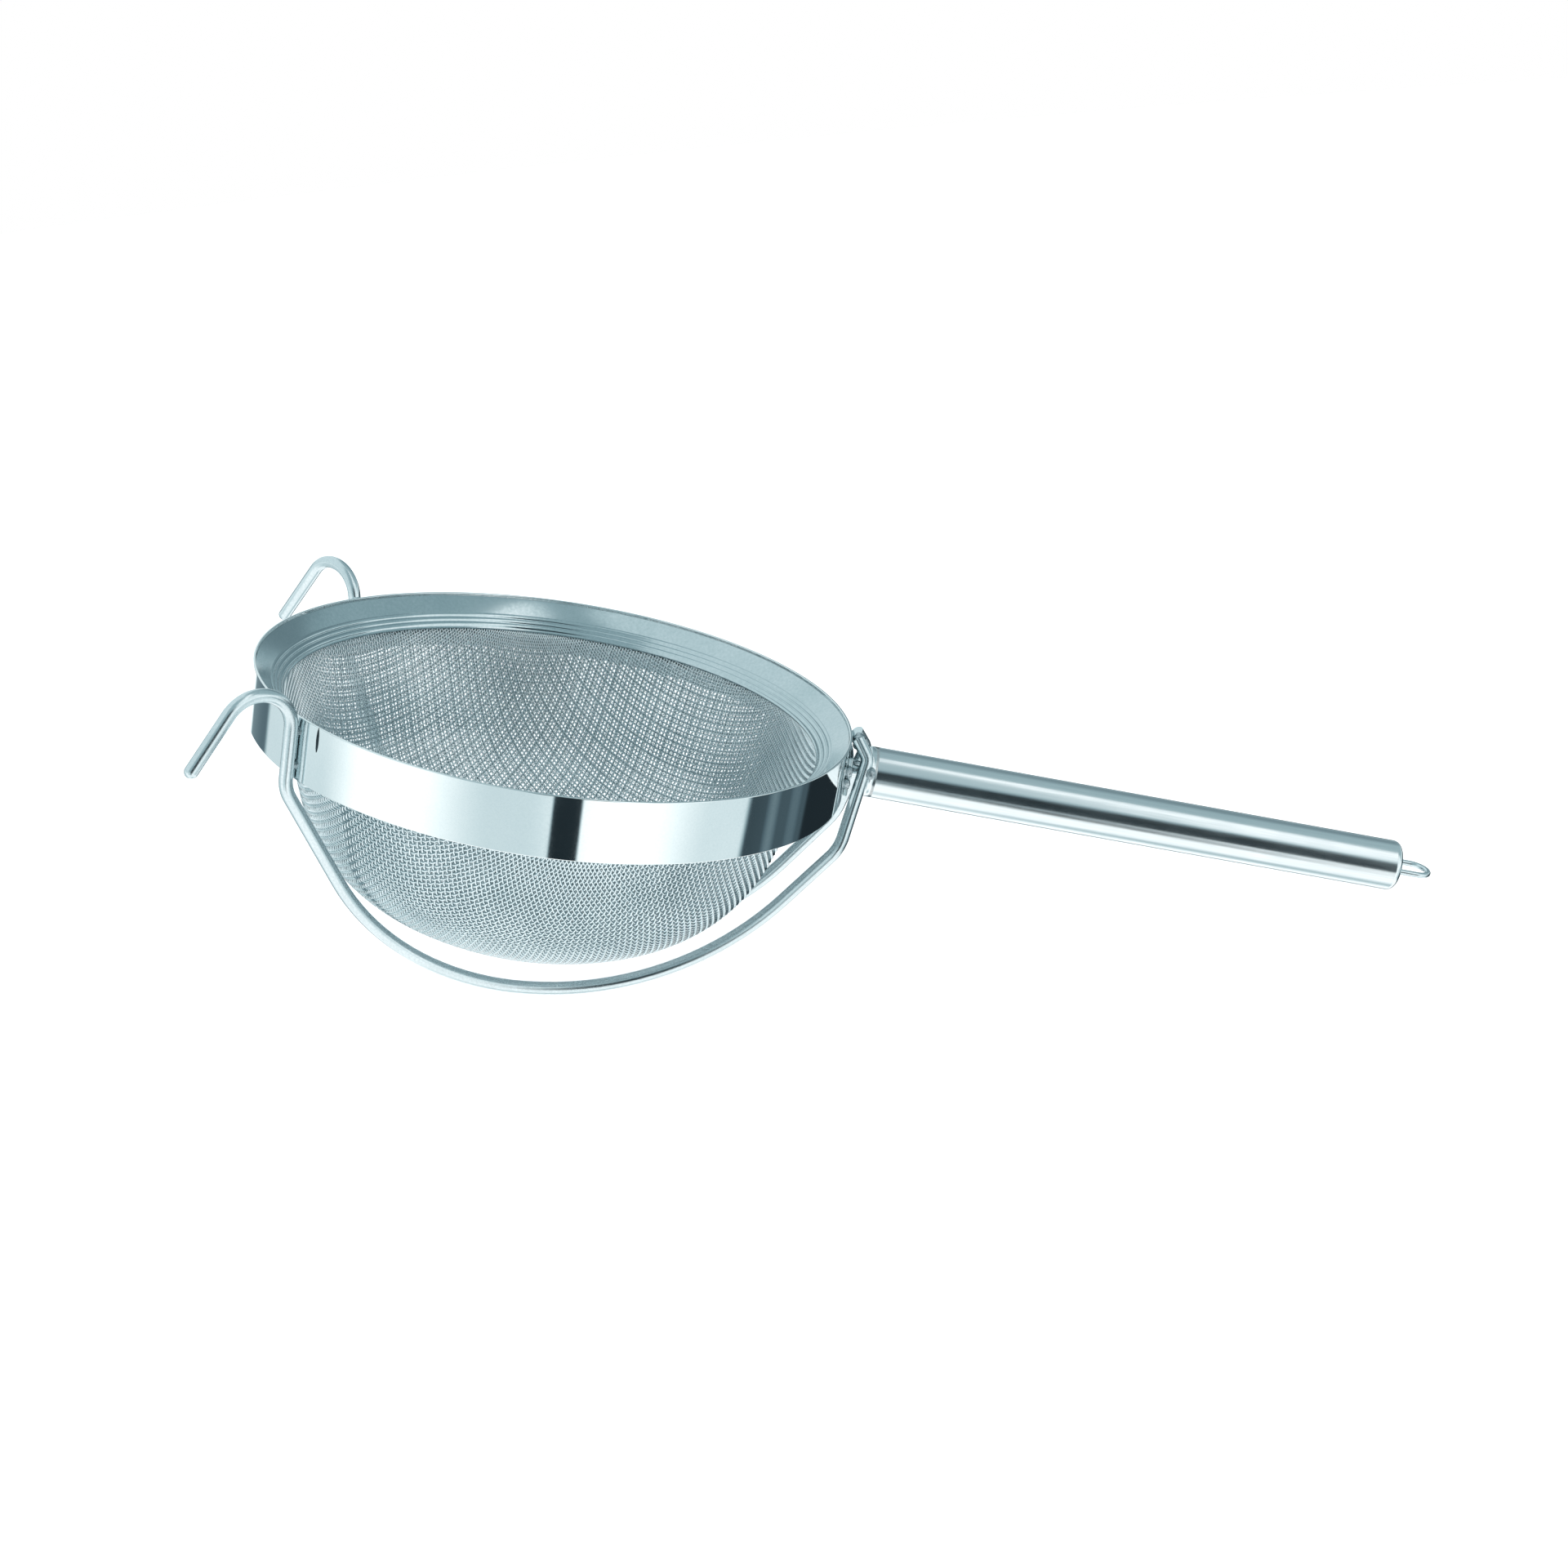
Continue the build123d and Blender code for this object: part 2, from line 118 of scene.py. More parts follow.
def add_node(tree, kind, sockets=None, **settings):
    """Adds a node, gives it its settings, and fills or links its input sockets."""
    node = tree.nodes.new(kind)
    for name, value in settings.items():
        setattr(node, name, value)
    for name, value in (sockets or {}).items():
        if isinstance(value, bpy.types.NodeSocket):
            tree.links.new(value, node.inputs[name])
        else:
            node.inputs[name].default_value = value
    return node


def steel(
    name,
    light,
    dark,
    roughness,
    grain_mm,
    grain_stretch=(1, 1, 1),
    turn=0.0,
    grain_depth_mm=0.0,
    wave_mm=0.0,
    wave_depth_mm=0.0,
):
    """Stainless steel: a grain of some size in millimetres, drawn out along one direction,
    that shifts its colour and roughness a little, and an optional slow waviness."""
    material = bpy.data.materials.new(name)
    material.use_nodes = True
    tree = material.node_tree
    tree.nodes.clear()
    place = add_node(tree, "ShaderNodeTexCoord").outputs["Object"]
    turned = add_node(
        tree, "ShaderNodeMapping", {"Vector": place, "Rotation": (0, turn, 0)}
    ).outputs["Vector"]
    drawn = add_node(
        tree, "ShaderNodeMapping", {"Vector": turned, "Scale": grain_stretch}
    ).outputs["Vector"]
    grain = add_node(
        tree,
        "ShaderNodeTexNoise",
        {"Vector": drawn, "Scale": 1000 / grain_mm, "Detail": 3.0, "Roughness": 0.6},
    ).outputs["Fac"]
    cloud = add_node(
        tree,
        "ShaderNodeTexNoise",
        {"Vector": place, "Scale": 1000 / CLOUD_MM, "Detail": 2.0, "Roughness": 0.5},
    ).outputs["Fac"]
    blend = add_node(
        tree, "ShaderNodeMath", {0: grain, 1: GRAIN_SHARE}, operation="MULTIPLY"
    ).outputs[0]
    blend = add_node(
        tree,
        "ShaderNodeMath",
        {0: cloud, 1: 1 - GRAIN_SHARE, 2: blend},
        operation="MULTIPLY_ADD",
    ).outputs[0]
    tone = add_node(
        tree,
        "ShaderNodeMapRange",
        {"Value": blend, "From Min": NOISE_LOW, "From Max": NOISE_HIGH},
    ).outputs["Result"]
    colour = add_node(tree, "ShaderNodeValToRGB", {"Fac": tone})
    colour.color_ramp.elements[0].color = linear(dark)
    colour.color_ramp.elements[1].color = linear(light)
    rough = add_node(
        tree,
        "ShaderNodeMapRange",
        {"Value": tone, "To Min": roughness[1], "To Max": roughness[0]},
    ).outputs["Result"]
    shader = add_node(
        tree,
        "ShaderNodeBsdfPrincipled",
        {"Base Color": colour.outputs["Color"], "Metallic": 1.0, "Roughness": rough},
    )
    normal = None
    if wave_depth_mm:
        swell = add_node(
            tree,
            "ShaderNodeTexNoise",
            {"Vector": place, "Scale": 1000 / wave_mm, "Detail": 1.0},
        ).outputs["Fac"]
        normal = add_node(
            tree,
            "ShaderNodeBump",
            {"Height": swell, "Strength": 1.0, "Distance": wave_depth_mm / 1000},
        ).outputs["Normal"]
    if grain_depth_mm:
        bump = add_node(
            tree,
            "ShaderNodeBump",
            {"Height": grain, "Strength": 1.0, "Distance": grain_depth_mm / 1000},
        )
        if normal:
            tree.links.new(normal, bump.inputs["Normal"])
        normal = bump.outputs["Normal"]
    if normal:
        tree.links.new(normal, shader.inputs["Normal"])
    add_node(tree, "ShaderNodeOutputMaterial", {"Surface": shader.outputs["BSDF"]})
    return material


# Mirror-polished stainless strip: sharp reflections, very slightly wavy from rolling
polished_band_steel = steel(
    "polished_band_steel",
    "#ECF3F4",
    "#E3ECEE",
    (0.035, 0.07),
    0.8,
    wave_mm=28.0,
    wave_depth_mm=0.03,
)
# Pressed stainless strip with its bright rolled surface: reflections a little blurred
pressed_ring_steel = steel(
    "pressed_ring_steel",
    "#C8D6DA",
    "#B6C8CC",
    (0.12, 0.2),
    1.2,
    wave_mm=22.0,
    wave_depth_mm=0.12,
    grain_depth_mm=0.003,
)
# Drawn wire, woven plain: each wire a narrow soft gleam, darker in the crossings
woven_outer_wire = steel("woven_outer_wire", "#E2EEF1", "#C2D3D8", (0.1, 0.18), 0.9)
woven_inner_wire = steel("woven_inner_wire", "#F0F7F9", "#D2E0E4", (0.08, 0.15), 0.7)
# Cold-drawn wire, polished after welding: a long bright gleam between dark edges
polished_frame_wire = steel(
    "polished_frame_wire", "#DCE8EB", "#C9D8DC", (0.2, 0.3), 0.8, grain_depth_mm=0.003
)
# Seamless tube, satin-polished lengthwise: soft bands of light along the handle
satin_tube_steel = steel(
    "satin_tube_steel",
    "#E6EEF0",
    "#D9E4E7",
    (0.16, 0.24),
    0.5,
    grain_stretch=(0.03, 1, 1),
    turn=-(rest_tilt + HANDLE_SLOPE),
    grain_depth_mm=0.004,
)
# Weld metal left as it set: uneven, matt and heat-darkened
raw_weld_steel = steel(
    "raw_weld_steel", "#C6D4D8", "#77878D", (0.2, 0.42), 0.9, grain_depth_mm=0.1
)
# Dark, matt steel for a painted reflection: the thin dark line reflected in the band below its
# top edge beside the near hook
painted_reflection_steel = steel("painted_reflection_steel", "#45535A", "#232D31", (0.4, 0.6), 0.6)

# ---------------------------------------------------------------- pieces

# Millimetres: points nearer than this are merged, and a corner this near is the one meant
MERGE_WITHIN = 1e-4
SAME_PLACE = 1e-3


def finish_piece(piece, material, slot, *nodes):
    """Links a finished piece, gives it its steel and hides the CAD nodes it stands for."""
    scene.collection.objects.link(piece)
    piece.data.materials.append(material)
    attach(piece, body)
    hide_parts(*nodes)
    return piece


def mesh_piece(name, shape, to_frame, material, slot, *nodes):
    """Makes an object of a bmesh that was modelled in millimetres."""
    bmesh.ops.transform(shape, matrix=to_frame, verts=shape.verts)
    bmesh.ops.recalc_face_normals(shape, faces=shape.faces)
    mesh = bpy.data.meshes.new(name)
    shape.to_mesh(mesh)
    shape.free()
    mesh.shade_smooth()
    piece = bpy.data.objects.new(name, mesh)
    even = piece.modifiers.new("even_normals", "WEIGHTED_NORMAL")
    even.keep_sharp = True
    return finish_piece(piece, material, slot, *nodes)


def round_corners(shape, corners, along_bowl):
    """Rounds the ring edges at some corners of a spun profile, each given by its radius, its
    height or reach, its rounding and its number of segments."""
    for radius, height, rounding, segments in corners:
        ring = []
        for edge in shape.edges:
            if along_bowl:
                ends = [(hypot(v.co.x, v.co.y), v.co.z) for v in edge.verts]
            else:
                ends = [(hypot(v.co.y, v.co.z), v.co.x) for v in edge.verts]
            if all(
                abs(r - radius) < SAME_PLACE and abs(h - height) < SAME_PLACE for r, h in ends
            ):
                ring.append(edge)
        bmesh.ops.bevel(
            shape,
            geom=ring,
            offset=rounding,
            offset_type="OFFSET",
            segments=segments,
            profile=0.5,
            affect="EDGES",
            material=-1,
        )


def spun(profile, rounded=(), along_bowl=True, steps=256, closed=True):
    """Spins a profile of (radius, height) points around the bowl's axis, or of
    (radius, reach) points around the handle's axis."""
    shape = bmesh.new()
    if along_bowl:
        points = [Vector((radius, 0, height)) for radius, height in profile]
        axis = (0, 0, 1)
    else:
        points = [Vector((reach, 0, radius)) for radius, reach in profile]
        axis = (1, 0, 0)
    corners = [shape.verts.new(point) for point in points]
    pairs = zip(corners, corners[1:] + (corners[:1] if closed else []))
    edges = [shape.edges.new(pair) for pair in pairs]
    bmesh.ops.spin(
        shape,
        geom=corners + edges,
        cent=(0, 0, 0),
        axis=axis,
        angle=2 * pi,
        steps=steps,
        use_merge=True,
        use_duplicate=False,
    )
    bmesh.ops.remove_doubles(shape, verts=shape.verts, dist=MERGE_WITHIN)
    round_corners(shape, rounded, along_bowl)
    return shape


def arc(centre, radius, start, end, steps):
    """Points on an arc in a profile's plane, angles in radians."""
    return [
        (
            centre[0] + radius * cos(start + (end - start) * step / steps),
            centre[1] + radius * sin(start + (end - start) * step / steps),
        )
        for step in range(steps + 1)
    ]


def outward(point, angle, length):
    """The point at a distance from a profile point, in a direction in radians."""
    return (point[0] + length * cos(angle), point[1] + length * sin(angle))


# Rim band
BAND_ROUNDING = 0.35
BAND_STEPS = 360
band_inner = RIM_RADIUS - BAND_WALL
band_profile = [
    (RIM_RADIUS, 0),
    (RIM_RADIUS, -BAND_HEIGHT),
    (band_inner, -BAND_HEIGHT),
    (band_inner, 0),
]
band = spun(
    band_profile,
    [(radius, height, BAND_ROUNDING, 3) for radius, height in band_profile],
    steps=BAND_STEPS,
)
mesh_piece(
    "rim_band_polished", band, bowl_to_frame, polished_band_steel, "band_steel", "rim_band"
)

# Clamp ring: curls over the cloth's roll, three pressed beads, then a plain cone to the band
roll_centre = (
    MOUTH.x + ROLL_RADIUS * sin(WALL_ANGLE),
    MOUTH.y - ROLL_RADIUS * cos(WALL_ANGLE),
)
CLAMP_UNDER = 5.1
CLAMP_TOP = 5.9
CURL = radians(10)
BEADS = 3
BEAD_PITCH = 2.1
BEAD_RISE = 0.45
BEAD_STEPS = 8
# Under 1 a bead is fuller than a sine wave
BEAD_FULLNESS = 0.8
RING_OUTER = 108.9
RING_ROUNDING = 0.3
quarter = pi / 2
top_curl = arc(roll_centre, CLAMP_TOP, LIP_ANGLE + CURL + quarter, LIP_ANGLE + quarter, 4)
under_curl = arc(
    roll_centre, CLAMP_UNDER, LIP_ANGLE + quarter, LIP_ANGLE + CURL + quarter, 4
)
ring_profile = list(top_curl)
for bead in range(BEADS):
    for step in range(1, BEAD_STEPS + 1):
        share = step / BEAD_STEPS
        point = outward(top_curl[-1], LIP_ANGLE, (bead + share) * BEAD_PITCH)
        ring_profile.append(
            outward(
                point, LIP_ANGLE + quarter, BEAD_RISE * sin(pi * share) ** BEAD_FULLNESS
            )
        )
top_run = (RING_OUTER - top_curl[-1][0]) / cos(LIP_ANGLE)
under_run = (RING_OUTER - under_curl[0][0]) / cos(LIP_ANGLE)
ring_profile.append(outward(top_curl[-1], LIP_ANGLE, top_run))
ring_profile.append(outward(under_curl[0], LIP_ANGLE, under_run))
ring_profile.extend(under_curl)
clamp = spun(ring_profile, [(*ring_profile[end], RING_ROUNDING, 3) for end in (0, -1)])
mesh_piece(
    "clamp_ring_beaded", clamp, bowl_to_frame, pressed_ring_steel, "ring_steel", "clamp_ring"
)

# Seat ring under the cloth's lip, with an upright leg on the band
SEAT_TOP = 2.9
SEAT_UNDER = 2.1
SEAT_LEG = 7.0
SEAT_WALL = 0.8
SEAT_ROUNDING = 0.25
seat_curl = arc(roll_centre, SEAT_TOP, WALL_ANGLE + quarter, LIP_ANGLE + quarter, 6)
seat_back = arc(roll_centre, SEAT_UNDER, LIP_ANGLE + quarter, WALL_ANGLE + quarter, 6)
seat_corner = outward(
    seat_curl[-1], LIP_ANGLE, (RING_OUTER - seat_curl[-1][0]) / cos(LIP_ANGLE)
)
back_corner = outward(
    seat_back[0], LIP_ANGLE, (RING_OUTER - SEAT_WALL - seat_back[0][0]) / cos(LIP_ANGLE)
)
leg_feet = [
    (RING_OUTER, seat_corner[1] - SEAT_LEG),
    (RING_OUTER - SEAT_WALL, seat_corner[1] - SEAT_LEG),
]
seat_profile = seat_curl + [seat_corner, *leg_feet, back_corner] + seat_back
seat = spun(
    seat_profile,
    [(*end, SEAT_ROUNDING, 2) for end in (seat_profile[0], seat_profile[-1], *leg_feet)],
)
mesh_piece(
    "seat_ring_pressed", seat, bowl_to_frame, pressed_ring_steel, "ring_steel", "seat_ring"
)

# ---------------------------------------------------------------- woven cloth

wall_outward = Vector((sin(WALL_ANGLE), -cos(WALL_ANGLE)))
shoulder_foot = Vector((0, -BOWL_DEPTH)) - SHOULDER_RADIUS * Vector(
    (sin(SHOULDER_START), -cos(SHOULDER_START))
)
FLOOR_RADIUS = (wall_outward.dot(MOUTH - shoulder_foot) - SHOULDER_RADIUS) / wall_outward.dot(
    Vector((sin(SHOULDER_START), 1 - cos(SHOULDER_START)))
)
shoulder_centre = shoulder_foot + FLOOR_RADIUS * Vector(
    (sin(SHOULDER_START), 1 - cos(SHOULDER_START))
)
wall_run = (MOUTH - shoulder_centre - SHOULDER_RADIUS * wall_outward).length


def cloth_meridian(reach, inset):
    """Radius, height and slope of the cloth at a distance from the pole, measured on it."""
    run = (FLOOR_RADIUS - inset) * SHOULDER_START
    if reach < run:
        slope = reach / (FLOOR_RADIUS - inset)
        radius = (FLOOR_RADIUS - inset) * sin(slope)
        return radius, FLOOR_RADIUS - BOWL_DEPTH - (FLOOR_RADIUS - inset) * cos(slope), slope
    reach -= run
    run = (SHOULDER_RADIUS - inset) * (WALL_ANGLE - SHOULDER_START)
    slope = SHOULDER_START + min(reach, run) / (SHOULDER_RADIUS - inset)
    radius = shoulder_centre.x + (SHOULDER_RADIUS - inset) * sin(slope)
    height = shoulder_centre.y - (SHOULDER_RADIUS - inset) * cos(slope)
    if reach < run:
        return radius, height, slope
    reach -= run
    if reach < wall_run:
        return radius + reach * cos(slope), height + reach * sin(slope), slope
    reach -= wall_run
    run = (ROLL_RADIUS + inset) * (WALL_ANGLE - LIP_ANGLE)
    slope = WALL_ANGLE - min(reach, run) / (ROLL_RADIUS + inset)
    radius = roll_centre[0] - (ROLL_RADIUS + inset) * sin(slope)
    height = roll_centre[1] + (ROLL_RADIUS + inset) * cos(slope)
    reach = max(reach - run, 0)
    return radius + reach * cos(slope), height + reach * sin(slope), slope


def cloth_point(reach, turn, inset):
    """A point of the cloth, with its steps along and around the bowl and its slope."""
    radius, height, slope = cloth_meridian(reach, inset)
    point = Vector((radius * cos(turn), radius * sin(turn), height))
    rise = Vector((cos(slope) * cos(turn), cos(slope) * sin(turn), sin(slope)))
    round_step = Vector((-radius * sin(turn), radius * cos(turn), 0))
    return point, rise, round_step, slope


# The search for a crossing: rounds, how flat its step may get, and the miss that is let pass
DRAPE_ROUNDS = 8
FLATTEST_STEP = 1e-9
LARGEST_MISS = 0.02


def drape(pitch, inset, full_reach):
    """Lays a quarter of a square-woven disc on the bowl so that every side of every mesh
    keeps its length, as cloth does when it is drawn into a bowl. Gives reach and turn of
    each crossing, by its count of wires from the pole."""
    crossings = {}
    count = int(full_reach / pitch) + 3
    for i in range(count):
        for j in range(count):
            if i == 0 or j == 0:
                crossings[i, j] = ((i + j) * pitch, 0.0 if j == 0 else pi / 2)
                continue
            before, beside, corner = (
                crossings.get((i - 1, j)),
                crossings.get((i, j - 1)),
                crossings.get((i - 1, j - 1)),
            )
            if not (before and beside):
                continue
            near, side = cloth_point(*before, inset)[0], cloth_point(*beside, inset)[0]
            guess = near + side - cloth_point(*corner, inset)[0]
            reach = max(before[0], beside[0]) + 0.4 * pitch
            turn = atan2(guess.y, guess.x)
            for _ in range(DRAPE_ROUNDS):
                point, rise, round_step, _ = cloth_point(reach, turn, inset)
                to_near, to_side = point - near, point - side
                miss_near = (to_near.length_squared - pitch**2) / 2
                miss_side = (to_side.length_squared - pitch**2) / 2
                a, b = to_near.dot(rise), to_near.dot(round_step)
                c, d = to_side.dot(rise), to_side.dot(round_step)
                scale = a * d - b * c
                if abs(scale) < FLATTEST_STEP:
                    break
                reach -= (d * miss_near - b * miss_side) / scale
                turn -= (a * miss_side - c * miss_near) / scale
            found = abs(miss_near) + abs(miss_side) < LARGEST_MISS
            if found and reach < full_reach + 2.5 * pitch:
                crossings[i, j] = (reach, turn)
    return crossings


def woven_wires(crossings, inset, full_reach, wave, across):
    """The lines of all wires of one direction, each passing over and under its neighbours."""
    wires = []
    count = max(i for i, _ in crossings)
    for lane in range(count + 1):
        half = []
        for step in range(count + 1):
            found = crossings.get((step, lane))
            if not found:
                break
            reach, turn = found
            if reach > full_reach:
                if half:
                    last_reach, last_turn = crossings[step - 1, lane]
                    share = (full_reach - last_reach) / (reach - last_reach)
                    last_turn += share * (turn - last_turn)
                    half.append((full_reach, last_turn, step - 1 + share))
                break
            half.append((reach, turn, step))
        if len(half) < 3:
            continue
        for side in (1, -1) if lane else (1,):
            line = []
            for direction in (-1, 1):
                for reach, turn, step in reversed(half) if direction < 0 else half[1:]:
                    point, _, _, slope = cloth_point(reach, turn, inset)
                    whole = int(step)
                    sway = (1 if (whole + lane) % 2 == 0 else -1) * (1 - 2 * (step - whole))
                    sway *= wave * (1 if across else -1)
                    normal = Vector(
                        (sin(slope) * cos(turn), sin(slope) * sin(turn), -cos(slope))
                    )
                    point = point + sway * normal
                    x, y = direction * point.x, side * point.y
                    if across:
                        x, y = -side * point.y, direction * point.x
                    line.append(
                        bowl_to_frame
                        @ Vector(
                            (
                                x * cos(CLOTH_TURN) - y * sin(CLOTH_TURN),
                                x * sin(CLOTH_TURN) + y * cos(CLOTH_TURN),
                                point.z,
                            )
                        )
                    )
            wires.append(line)
    return wires


def wire_piece(name, lines, radius_mm, sides, material, slot, *nodes, radii=None):
    """A piece of round wire along one or more lines of points in metres."""
    curve = bpy.data.curves.new(name, "CURVE")
    curve.dimensions = "3D"
    curve.bevel_depth = radius_mm / 1000
    curve.bevel_resolution = (sides - 4) // 2
    curve.use_fill_caps = True
    for line in lines:
        spline = curve.splines.new("POLY")
        spline.points.add(len(line) - 1)
        spline.points.foreach_set("co", [c for point in line for c in (*point, 1.0)])
        if radii:
            spline.points.foreach_set("radius", radii)
        spline.use_smooth = True
    return finish_piece(bpy.data.objects.new(name, curve), material, slot, *nodes)


# Millimetres along the cloth from the pole: its lip's edge lies between these
REACH_LOW = 100.0
REACH_HIGH = 170.0


def cloth_reach(inset):
    """The cloth's reach from the pole to the lip's edge."""
    low, high = REACH_LOW, REACH_HIGH
    for _ in range(40):
        middle = (low + high) / 2
        if cloth_meridian(middle, inset)[0] < LIP_RADIUS:
            low = middle
        else:
            high = middle
    return low


# The turn of the weave from the handle, and each layer's pitch, wire and inset in millimetres.
# Turn and pitch follow the photo, and the wires are as thick as the light that comes
# through the cloth in it asks for.
CLOTH_TURN = radians(55.0)
for layer, pitch, wire, inset, sides, material, slot, node in (
    ("outer_cloth", 1.8, 0.78, 0.6, 6, woven_outer_wire, "coarse_cloth", "coarse_mesh_bowl"),
    ("inner_cloth", 1.27, 0.52, 1.85, 4, woven_inner_wire, "fine_cloth", "fine_mesh_bowl"),
):
    full_reach = cloth_reach(inset)
    crossings = drape(pitch, inset, full_reach)
    for across, direction in ((False, "warp"), (True, "weft")):
        lines = woven_wires(crossings, inset, full_reach, wire / 2, across)
        for half in (0, 1):
            wire_piece(
                f"{layer}_{direction}_{half + 1}",
                lines[half::2],
                wire / 2,
                sides,
                material,
                slot,
                node,
            )

# ---------------------------------------------------------------- frame wires


def bent_line(corners, bends, degrees_a_step=3.0):
    """Points along straight runs joined by arcs of the given radii."""
    points = [corners[0]]
    for before, corner, after, radius in zip(corners, corners[1:], corners[2:], bends):
        into, out_of = (corner - before).normalized(), (after - corner).normalized()
        angle = into.angle(out_of)
        trim = radius * tan(angle / 2)
        start = corner - into * trim
        middle = corner + (out_of - into).normalized() * (radius / cos(angle / 2))
        axis = into.cross(out_of).normalized()
        steps = max(4, round(degrees(angle) / degrees_a_step))
        for step in range(steps + 1):
            spin_by = Matrix.Rotation(angle * step / steps, 3, axis)
            points.append(middle + spin_by @ (start - middle))
    points.append(corners[-1])
    return points


def sweep_radius(before, corner, after, run, share):
    """The radius of a bend whose arc takes a share of a run of the wire."""
    angle = (corner - before).angle(after - corner)
    return share * run / tan(angle / 2)


# The far wire's corners, in the bowl's frame. The near wire is its mirror image.
WIRE_CORNERS = (
    (-112.86, 97.42, -15.32),  # the hook's tip
    (-100.91, 87.10, 9.0),  # top of the hook, away from the band
    (-85.31, 73.64, 9.0),  # top of the hook, over its leg
    (-85.31, 73.64, -26.2),  # foot of the leg, on the band's outer face
    (-41.91, 44.33, -107.6),  # front of the skid, under the bowl
    (62.92, 16.5, -107.6),  # back of the skid, where the riser starts
    (111.3, 18.3, -39.8),  # top of the riser, where it turns to the handle's root
    (116.9, 6.9, -7.5),  # beside the handle's root
    (112.2, 4.4, -1.1),  # the end, at the band's top edge
)
HOOK_BEND = 13.0
LEG_BEND = 14.0
RISER_BEND = 16.0
NECK_BEND = 5.0
# How much of the skid's run the bend at its front and the one at its back take
FRONT_SHARE = 0.485
BACK_SHARE = 0.497
FAR_HOOK_EXTRA = 6.5
TIP_STEPS = 6
TIP_END = 0.02
for side, wire_name in ((1, "right"), (-1, "left")):
    corners = [Vector((x, side * y, z)) for x, y, z in WIRE_CORNERS]
    if side > 0:
        # The far hook's tip passes behind the rim in the photo, so it is a little longer
        corners[0] += (corners[0] - corners[1]).normalized() * FAR_HOOK_EXTRA
    run = (corners[5] - corners[4]).length
    bends = [
        HOOK_BEND,
        HOOK_BEND,
        LEG_BEND,
        sweep_radius(*corners[3:6], run, FRONT_SHARE),
        sweep_radius(*corners[4:7], run, BACK_SHARE),
        RISER_BEND,
        NECK_BEND,
    ]
    line = bent_line(corners, bends)
    # The hook's tip is rounded: short steps of shrinking radius before the first corner
    lead = (line[0] - line[1]).normalized()
    tip_steps = [pi / 2 * step / TIP_STEPS for step in range(TIP_STEPS, 0, -1)]
    tip = [line[0] + lead * WIRE_RADIUS * sin(step) for step in tip_steps]
    radii = [max(cos(step), TIP_END) for step in tip_steps] + [1.0] * len(line)
    wire_piece(
        f"guard_wire_{wire_name}_polished",
        [[bowl_to_frame @ point for point in tip + line]],
        WIRE_RADIUS,
        28,
        polished_frame_wire,
        "wire_steel",
        f"guard_wire_{wire_name}",
        radii=radii,
    )

# ---------------------------------------------------------------- handle

STEPS_ROUND = 96
TUBE_WALL = 1.0
tube_profile = [
    (TUBE_RADIUS, TUBE_START),
    (TUBE_RADIUS, TUBE_END),
    (TUBE_RADIUS - TUBE_WALL, TUBE_END),
    (TUBE_RADIUS - TUBE_WALL, TUBE_START),
]
tube = spun(tube_profile, along_bowl=False, steps=STEPS_ROUND)
mesh_piece(
    "handle_tube_satin", tube, handle_to_frame, satin_tube_steel, "handle_steel", "handle_tube"
)

# The end cap is rounded almost down to the tube, but for this short straight edge
CAP_EDGE = 0.05
END_ROUNDING = HANDLE_LENGTH - TUBE_END - CAP_EDGE
end_profile = [
    (0.0, HANDLE_LENGTH),
    (TUBE_RADIUS, HANDLE_LENGTH),
    (TUBE_RADIUS, TUBE_END),
    (0.0, TUBE_END),
]
end_cap = spun(
    end_profile,
    [(TUBE_RADIUS, HANDLE_LENGTH, END_ROUNDING, 10)],
    along_bowl=False,
    steps=STEPS_ROUND,
    closed=False,
)
mesh_piece(
    "handle_end_domed",
    end_cap,
    handle_to_frame,
    satin_tube_steel,
    "handle_steel",
    "handle_end_cap",
)

# The root cap starts this far from the band, and its nose reaches on to the pad
ROOT_GAP = 7.2
NOSE_START = 1.9
NOSE_RADIUS = 3.2
root_profile = [
    (0.0, NOSE_START),
    (NOSE_RADIUS, NOSE_START),
    (NOSE_RADIUS, ROOT_GAP),
    (TUBE_RADIUS, ROOT_GAP),
    (TUBE_RADIUS, TUBE_START),
    (0.0, TUBE_START),
]
root_cap = spun(
    root_profile,
    [
        (TUBE_RADIUS, ROOT_GAP, 1.45, 6),
        (NOSE_RADIUS, ROOT_GAP, 1.2, 4),
        (NOSE_RADIUS, NOSE_START, 0.3, 2),
    ],
    along_bowl=False,
    steps=STEPS_ROUND,
    closed=False,
)
mesh_piece(
    "handle_root_closed",
    root_cap,
    handle_to_frame,
    satin_tube_steel,
    "handle_steel",
    "handle_root_cap",
)

LOOP_HALF_WIDTH = 5.7
LOOP_START = 211.85
LOOP_CENTRE = 221.65
LOOP_WIRE_RADIUS = 1.05
LOOP_STEPS = 24
loop_line = (
    [Vector((LOOP_START, -LOOP_HALF_WIDTH, 0))]
    + [
        Vector(
            (
                LOOP_CENTRE + LOOP_HALF_WIDTH * sin(pi * step / LOOP_STEPS),
                -LOOP_HALF_WIDTH * cos(pi * step / LOOP_STEPS),
                0,
            )
        )
        for step in range(LOOP_STEPS + 1)
    ]
    + [Vector((LOOP_START, LOOP_HALF_WIDTH, 0))]
)
wire_piece(
    "hanging_loop_polished",
    [[handle_to_frame @ point for point in loop_line]],
    LOOP_WIRE_RADIUS,
    20,
    polished_frame_wire,
    "wire_steel",
    "hanging_loop",
)

# ---------------------------------------------------------------- saddle and weld metal

SADDLE_INNER = 110.1
SADDLE_OUTER = 111.7
SADDLE_HALF_HEIGHT = 7.5
SADDLE_WIDTH = 22.0
SADDLE_ROUNDING = 0.45
